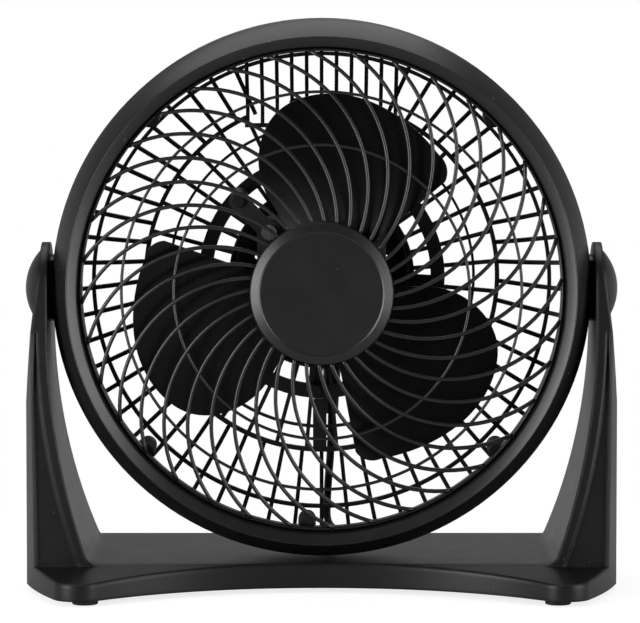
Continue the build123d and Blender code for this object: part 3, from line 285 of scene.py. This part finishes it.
def cast_metal(name, colour):
    s = Shader(name, 0.55, metallic=0.85)
    sand = s.noise(scale=900.0, detail=4.0)
    s.colour(s.blend(sand, shaded(colour, 0.6), colour))
    s.roughness(sand, 0.48, 0.66)
    s.rounded_edges(0.4)
    s.bump(sand, strength=0.6, depth=0.12)
    return s.material


def banded(name, colour, dark, period, rough, metallic, direction):
    """Layers across a direction, such as steel sheets or turns of wire. period is millimetres."""
    s = Shader(name, rough, metallic=metallic)
    along = s.vector("DOT_PRODUCT", s.place, direction)
    wave = s.math("SINE", s.multiply(along, 2 * pi / (period * MM)))
    ridge = s.ramp(wave, (-1.0, 0.0), (0.4, 1.0))
    stain = s.noise(scale=180.0, detail=3.0)
    tone = s.blend(s.ramp(stain, (0.35, 0.0), (0.65, 1.0)), shaded(colour, 0.7), colour)
    s.colour(s.blend(ridge, dark, tone))
    s.roughness(stain, rough - 0.08, rough + 0.1)
    s.bump(ridge, strength=0.7, depth=0.12)
    return s.material


stand_black = moulded(
    "stand_black", (0.005, 0.005, 0.0052), rough=0.38, grain=0.25, edge=2.0, dust=0.3, specular=0.42
)
shroud_black = moulded(
    "shroud_black", (0.0085, 0.0085, 0.0088), rough=0.35, grain=0.2, edge=0.3, form=shroud_form
)
grille_black = moulded("grille_black", (0.012, 0.012, 0.0123), rough=0.29, grain=0.08, edge=0.3, dust=0.2)
rear_black = moulded("rear_black", (0.005, 0.005, 0.0052), rough=0.45, grain=0.2, edge=0.4, dust=0.2)
cap_black = moulded(
    "cap_black", (0.0085, 0.0085, 0.0088), rough=0.34, grain=0.9, edge=0.25, dust=0.15, fineness=1250.0
)
blade_black = moulded(
    "blade_black", (0.002, 0.002, 0.0021), rough=0.27, grain=0.05, edge=0.3, dust=0.1, specular=0.2
)
knob_black = moulded("knob_black", (0.0095, 0.0095, 0.0098), rough=0.33, grain=0.1, edge=0.5, dust=0.2)
nylon_white = moulded("nylon_white", (0.62, 0.61, 0.57), rough=0.5, grain=0.1, edge=0.2, dust=0.0)
switch_cream = moulded("switch_cream", (0.7, 0.67, 0.58), rough=0.45, grain=0.1, edge=0.3, dust=0.0)
foot_rubber = rubber("foot_rubber", (0.03, 0.03, 0.03), rough=0.7)
cord_black = rubber("cord_black", (0.016, 0.016, 0.017), rough=0.5)
zinc_steel = metal("zinc_steel", (0.62, 0.62, 0.6), rough=0.3)
dark_steel = metal("dark_steel", (0.07, 0.07, 0.075), rough=0.35)
ground_steel = metal("ground_steel", (0.6, 0.6, 0.61), rough=0.22)
bronze = cast_metal("bronze", (0.5, 0.34, 0.16))
cast_alloy = cast_metal("cast_alloy", (0.06, 0.06, 0.063))
laminations = banded(
    "laminations", (0.1, 0.1, 0.11), (0.02, 0.02, 0.02),
    period=0.5, rough=0.5, metallic=0.6, direction=forward,
)
windings = banded(
    "windings", (0.46, 0.17, 0.06), (0.12, 0.03, 0.01),
    period=0.45, rough=0.35, metallic=0.7, direction=forward,
)

finishes = {
    "stand": stand_black,
    "right_pivot_cap": stand_black,
    "left_pivot_cap": stand_black,
    "front_shroud": shroud_black,
    "front_grille": grille_black,
    "centre_cap": cap_black,
    "rear_grille": rear_black,
    "rear_cover": rear_black,
    "impeller": blade_black,
    "speed_knob": knob_black,
    "pivot_washers": nylon_white,
    "speed_switch": switch_cream,
    "feet": foot_rubber,
    "strain_relief": cord_black,
    "coil_tie": cord_black,
    "plug": cord_black,
    "pivot_screws": zinc_steel,
    "motor_screws": zinc_steel,
    "motor_nuts": zinc_steel,
    "motor_mount_screws": dark_steel,
    "grille_screws": dark_steel,
    "cover_screws": dark_steel,
    "shaft": ground_steel,
    "switch_spindle": ground_steel,
    "plug_pins": ground_steel,
    "hub_clip": ground_steel,
    "bearings": bronze,
    "front_bracket": cast_alloy,
    "rear_bracket": cast_alloy,
    "rotor": cast_alloy,
    "stator_stack": laminations,
    "stator_coils": windings,
}
for node, finish in finishes.items():
    cad = frame["nodes"][node]
    cad.data.materials.clear()
    cad.data.materials.append(finish)


# === Mesh helpers ====================================================================
def piece(name, points, faces, finish, body):
    """Smooth-shaded mesh piece that rides on a body."""
    mesh = bpy.data.meshes.new(name)
    mesh.from_pydata(points, [], faces)
    mesh.materials.append(finish)
    mesh.shade_smooth()
    made = bpy.data.objects.new(name, mesh)
    bpy.context.scene.collection.objects.link(made)
    if body:
        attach(made, body)
    return made


class Faces:
    """Points and faces of one mesh, gathered from sweeps."""

    def __init__(self):
        self.points = []
        self.faces = []

    def sweep(self, rings, closed=False):
        """Skin over rings of equally many points. closed joins the last ring to the first."""
        start = len(self.points)
        count = len(rings[0])
        for ring in rings:
            self.points += [tuple(p) for p in ring]
        last = len(rings) if closed else len(rings) - 1
        for i in range(last):
            here = start + i * count
            there = start + (i + 1) % len(rings) * count
            for j in range(count):
                k = (j + 1) % count
                self.faces.append((here + j, here + k, there + k, there + j))
        if not closed:
            self.faces.append(tuple(start + j for j in reversed(range(count))))
            self.faces.append(tuple(start + (len(rings) - 1) * count + j for j in range(count)))


def tube_rings(path, radius, sides):
    """Circles along a path, turned as little as possible from one to the next."""
    rings = []
    side = Vector((1, 0, 0))
    for i, here in enumerate(path):
        ahead = path[min(i + 1, len(path) - 1)] - path[max(i - 1, 0)]
        ahead.normalize()
        side = (side - ahead * side.dot(ahead)).normalized()
        other = ahead.cross(side)
        rings.append([
            here + (side * cos(2 * pi * j / sides) + other * sin(2 * pi * j / sides)) * radius
            for j in range(sides)
        ])
    return rings


# === Front grille ====================================================================
# Its sizes in millimetres, as in the part: spiral ribs on a shallow dome, two rings, a rim.
rib_count = 36
rib_start = 2.84
rib_root = 31.5
rib_mid = (74.0, 19.64)       # radius, and degrees that the rib has turned there
rib_tip = (111.6, 45.75)
rib_points = 30
rib_width = 1.8
rib_depth = 3.0
dome_height = 25.6
dome_radius = 700.0
ring_radii = (68.4, 92.7)
ring_width = 1.4
ring_setback = 0.25           # behind the ribs' fronts
ring_shallower = 0.9          # than the ribs
rim_inner = 111.2
rim_outer = 112.6
rim_front = 16.3
rim_rear = 9.7
rim_edge = 0.4
hub_radius = 32.5
hub_bore = 8.0
hub_thickness = 2.0
hub_proud = 0.1               # of the ribs


def dome_depth(radius):
    return dome_height - dome_radius + sqrt(dome_radius**2 - radius**2)


def arc_through(a, b, c, count):
    """Points of the circle through three plane points, from the first to the last."""
    ax, ay = a
    bx, by = b
    cx, cy = c
    d = 2 * (ax * (by - cy) + bx * (cy - ay) + cx * (ay - by))
    a2 = ax * ax + ay * ay
    b2 = bx * bx + by * by
    c2 = cx * cx + cy * cy
    centre = Vector((
        (a2 * (by - cy) + b2 * (cy - ay) + c2 * (ay - by)) / d,
        (a2 * (cx - bx) + b2 * (ax - cx) + c2 * (bx - ax)) / d,
    ))
    start = Vector(a) - centre
    turn = start.angle_signed(Vector(c) - centre) * -1
    points = []
    for i in range(count):
        angle = turn * i / (count - 1)
        points.append(centre + Matrix.Rotation(angle, 2) @ start)
    return points


def plane_polar(radius, angle):
    return (radius * sin(radians(angle)), radius * cos(radians(angle)))


def revolved(section, steps):
    """Rings of a section of (radius, depth) points, turned about the fan's axis."""
    return [[head_polar(r, 360.0 / steps * k, w) for r, w in section] for k in range(steps)]


def bar_profile(width, depth):
    """Section of a moulded bar as (across, behind the front): a round nose and drafted sides."""
    half = width / 2
    waist = half * 0.86
    foot = half * 0.6
    waist_depth = depth - 0.2
    nose_angles = [pi * i / 6 for i in range(7)]
    nose = [(half * cos(angle), half * (1 - sin(angle))) for angle in nose_angles]
    return nose + [(-waist, waist_depth), (-foot, depth), (foot, depth), (waist, waist_depth)]


def front_grille():
    gathered = Faces()
    section = bar_profile(rib_width, rib_depth)
    for i in range(rib_count):
        start = rib_start + 360.0 * i / rib_count
        path = arc_through(
            plane_polar(rib_root, start),
            plane_polar(rib_mid[0], start - rib_mid[1]),
            plane_polar(rib_tip[0], start - rib_tip[1]),
            rib_points,
        )
        rings = []
        for j, here in enumerate(path):
            ahead = (path[min(j + 1, len(path) - 1)] - path[max(j - 1, 0)]).normalized()
            across = Vector((ahead.y, -ahead.x))
            front = dome_depth(here.length)
            rings.append([
                head_point(here.x + across.x * u, here.y + across.y * u, front - v) for u, v in section
            ])
        gathered.sweep(rings)
    for radius in ring_radii:
        front = dome_depth(radius) - ring_setback
        bar = bar_profile(ring_width, rib_depth - ring_shallower)
        gathered.sweep(revolved([(radius + u, front - v) for u, v in bar], steps=144), closed=True)
    rim_section = [
        (rim_inner, rim_rear),
        (rim_outer, rim_rear),
        (rim_outer, rim_front - rim_edge),
        (rim_outer - rim_edge, rim_front),
        (rim_inner + rim_edge, rim_front),
        (rim_inner, rim_front - rim_edge),
    ]
    gathered.sweep(revolved(rim_section, steps=180), closed=True)
    hub_front = dome_depth(hub_radius) + hub_proud
    hub_rear = hub_front - hub_thickness
    hub_section = [
        (hub_bore, hub_rear),
        (hub_radius, hub_rear),
        (hub_radius, hub_front),
        (hub_bore, hub_front),
    ]
    gathered.sweep(revolved(hub_section, steps=120), closed=True)
    made = piece("spiral_grille", gathered.points, gathered.faces, grille_black, "head")
    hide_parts("front_grille")


front_grille()


# === Shroud's lip ====================================================================
# Points of its section as (radius, depth). A flat chamfer runs from the crest to the corner.
lip_crest = [(118.5, 24.0), (118.25, 24.2), (118.0, 24.33), (117.8, 24.3), (117.6, 24.18)]
lip_corner = [(113.75, 21.16), (113.55, 20.96), (113.4, 20.7)]
lip_foot = [(113.0, 14.9), (113.4, 14.6)]
lip_back = [(116.0, 19.6)]


def lip():
    """Chamfer and inner wall of the shroud's mouth, in front of the grille's rim."""
    gathered = Faces()
    section = lip_crest + lip_corner + lip_foot + lip_back
    gathered.sweep(revolved(section, steps=240), closed=True)
    piece("shroud_lip", gathered.points, gathered.faces, shroud_black, "head")


lip()

# === Cord ============================================================================
cord_radius = 1.9 * MM
cord_sides = 12
# From the strain relief down to the coil. These points and the coil's are millimetres.
cord_route = [
    (5.0, 50.675, 76.246),
    (4.6, 51.805, 58.281),
    (3.3, 57.0, 43.5),
    (2.7, 67.5, 30.5),
    (2.5, 80.0, 21.6),
    (4.6, 91.5, 14.8),
    (13.5, 102.5, 9.8),
    (24.4, 112.0, 6.8),
]
coil_centre = (-6.0, 122.0)
coil_outer_turn = 32.6
coil_inner_turn = 12.9
coil_pitch = 3.94
coil_top_z = 6.0
coil_bottom_z = 1.95
coil_start_angle = 3.5
coil_end_angle = 266.0 + 11 * 360
coil_step_down = 0.9          # turns over which the cord goes down to the lower layer
points_per_turn = 18
tail_route = [
    (4.0, 89.0, 1.9),
    (16.5, 90.2, 2.0),
    (28.5, 91.4, 3.0),
    (41.0, 91.8, 5.0),
    (50.0, 91.8, 5.0),
]


def coil_turns():
    """In on the upper layer from its outer turn, down at the middle, and out on the lower one."""
    inward = (coil_outer_turn - coil_inner_turn) / coil_pitch
    points = []
    steps = round((coil_end_angle - coil_start_angle) / 360 * points_per_turn)
    for i in range(steps + 1):
        turned = (coil_end_angle - coil_start_angle) / 360 * i / steps
        if turned < inward:
            radius = coil_outer_turn - coil_pitch * turned
            height = coil_top_z
        else:
            past = turned - inward
            radius = min(coil_inner_turn + coil_pitch * max(past - coil_step_down, 0), coil_outer_turn)
            height = coil_top_z - (coil_top_z - coil_bottom_z) * min(past / coil_step_down, 1)
        angle = radians(coil_start_angle + 360 * turned)
        # The curve cuts the corners of its route, so they are set further out.
        grown = radius / (0.5 + 0.5 * cos(pi / points_per_turn))
        points.append((coil_centre[0] + grown * cos(angle), coil_centre[1] + grown * sin(angle), height))
    return points


def cord():
    curve = bpy.data.curves.new("cord_route", "CURVE")
    curve.dimensions = "3D"
    curve.resolution_u = 5
    line = curve.splines.new("NURBS")
    route = cord_route + coil_turns() + tail_route
    line.points.add(len(route) - 1)
    for point, place in zip(line.points, route):
        point.co = (*[c * MM for c in place], 1.0)
    line.order_u = 3
    line.use_endpoint_u = True
    guide = bpy.data.objects.new("cord_route", curve)
    followed = bpy.data.meshes.new_from_object(guide)
    path = [v.co.copy() for v in followed.vertices]
    bpy.data.objects.remove(guide)
    gathered = Faces()
    gathered.sweep(tube_rings(path, cord_radius, cord_sides))
    made = piece("power_cord", gathered.points, gathered.faces, cord_black, None)
    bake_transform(made)
    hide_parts("cord_drop", "cord_coil", "cord_tail")


cord()

# === Stage ===========================================================================
white = 1.0
wall_mirrored = 0.45      # share of the white walls that the object mirrors
floor_mirrored = 0.2
wall_light = 0.15         # of the walls on the object
floor_colour = (0.42, 0.42, 0.42)
floor_glow = 0.8          # seen besides the light that the floor catches, so that it reaches white
floor_radius = 0.37
floor_sides = 96
shadow_radius = 0.17      # the floor's shadows fade from here
studio_radius = 0.33      # to here
# What the object mirrors of the walls, as (part of the direction, level): by its Y from front to
# back, and by its Z, up or down, from level to steep.
front_wall = (-0.45, 0.1)
back_wall = (0.3, white)
level_wall = (0.04, 1.0)
steep_wall = (0.4, 0.25)


def seen_rays(nodes, mirrored_share):
    """1 for what the camera sees, straight or through glass, and less for what it sees mirrored."""
    rays = nodes.add("ShaderNodeLightPath").outputs
    mirrored = nodes.multiply(rays["Is Glossy Ray"], mirrored_share)
    either = nodes.math("MAXIMUM", rays["Is Camera Ray"], mirrored)
    return nodes.math("MAXIMUM", either, rays["Is Transmission Ray"])


def pale_floor():
    """It catches the object's shadow. Further out it is the white of the studio."""
    s = Shader("floor_pale", 0.9, specular=0.0)
    s.colour(floor_colour)
    seen = seen_rays(s, floor_mirrored)
    glow = s.add("ShaderNodeEmission", Strength=s.multiply(seen, floor_glow))
    near = s.add("ShaderNodeAddShader")
    s.feed(near.inputs[0], s.surface.outputs[0])
    s.feed(near.inputs[1], glow.outputs[0])
    away = s.ramp(s.vector("LENGTH", s.place), (shadow_radius, 0.0), (studio_radius, 1.0))
    studio = s.add("ShaderNodeEmission", Strength=white)
    choose = s.add("ShaderNodeMixShader")
    s.feed(choose.inputs[0], s.multiply(seen, away))
    s.feed(choose.inputs[1], near.outputs[0])
    s.feed(choose.inputs[2], studio.outputs[0])
    s.feed(s.tree.nodes["Material Output"].inputs["Surface"], choose.outputs[0])
    return s.material


def pale_floor_disc():
    mesh = bpy.data.meshes.new("floor")
    angles = [2 * pi * i / floor_sides for i in range(floor_sides)]
    edge = [(floor_radius * cos(angle), floor_radius * sin(angle), 0) for angle in angles]
    mesh.from_pydata(edge, [], [tuple(range(floor_sides))])
    mesh.materials.append(pale_floor())
    floor = bpy.data.objects.new("floor", mesh)
    bpy.context.scene.collection.objects.link(floor)


def studio_walls():
    """White all round for the camera. The object mirrors them white behind it and dim in front."""
    world = bpy.data.worlds.new("studio")
    bpy.context.scene.world = world
    world.use_nodes = True
    world.cycles.sampling_method = "NONE"      # so that its light follows the kind of ray
    w = Nodes(world.node_tree)
    sky = w.tree.nodes["Background"]
    sky.inputs["Color"].default_value = (1, 1, 1, 1)
    direction = w.add("ShaderNodeTexCoord").outputs["Generated"]
    parts = w.add("ShaderNodeSeparateXYZ")
    w.feed(parts.inputs[0], direction)
    around = w.ramp(parts.outputs["Y"], front_wall, back_wall)
    away_from_level = w.ramp(w.math("ABSOLUTE", parts.outputs["Z"]), level_wall, steep_wall)
    mirrored = w.multiply(around, away_from_level)
    on_object = w.mix("FLOAT", seen_rays(w, wall_mirrored), wall_light, mirrored)
    camera_ray = w.add("ShaderNodeLightPath").outputs["Is Camera Ray"]
    w.feed(sky.inputs["Strength"], w.mix("FLOAT", camera_ray, on_object, white))


pale_floor_disc()
studio_walls()


def softbox(name, place, target, size, power):
    lamp = bpy.data.lights.new(name, "AREA")
    lamp.shape = "RECTANGLE"
    lamp.size, lamp.size_y = size
    lamp.energy = power
    made = bpy.data.objects.new(name, lamp)
    made.location = place
    made.rotation_euler = (Vector(target) - Vector(place)).to_track_quat("-Z", "Y").to_euler()
    bpy.context.scene.collection.objects.link(made)


middle = (0, 0, 0.14)
softbox("top_box", (-0.1, 0.3, 1.4), middle, size=(1.6, 1.2), power=9)
softbox("left_box", (-1.21, -0.95, 0.18), middle, size=(0.75, 1.3), power=25)
softbox("right_box", (1.36, -0.7, 0.18), middle, size=(0.9, 1.4), power=21)

# === Camera ==========================================================================
image_width = 640
image_height = 623
camera_distance = 1.5
camera_elevation = 2.9
camera_target = Vector((0, -0.011, 0.1408))
target_pixel = (321.6, 287.5)
pixels_per_metre = 2134.0
sensor_width = 36.0
camera = bpy.data.cameras.new("camera")
camera.sensor_width = sensor_width
camera.lens = pixels_per_metre * camera_distance / image_width * camera.sensor_width
camera.shift_x = (image_width / 2 - target_pixel[0]) / image_width
camera.shift_y = -(image_height / 2 - target_pixel[1]) / image_width
camera.clip_end = 20.0
eye = bpy.data.objects.new("camera", camera)
tip = radians(camera_elevation)
eye.location = camera_target + Vector((0, -cos(tip), sin(tip))) * camera_distance
eye.rotation_euler = (pi / 2 - tip, 0, 0)
bpy.context.scene.collection.objects.link(eye)
bpy.context.scene.camera = eye
bpy.context.scene.view_settings.view_transform = "Standard"
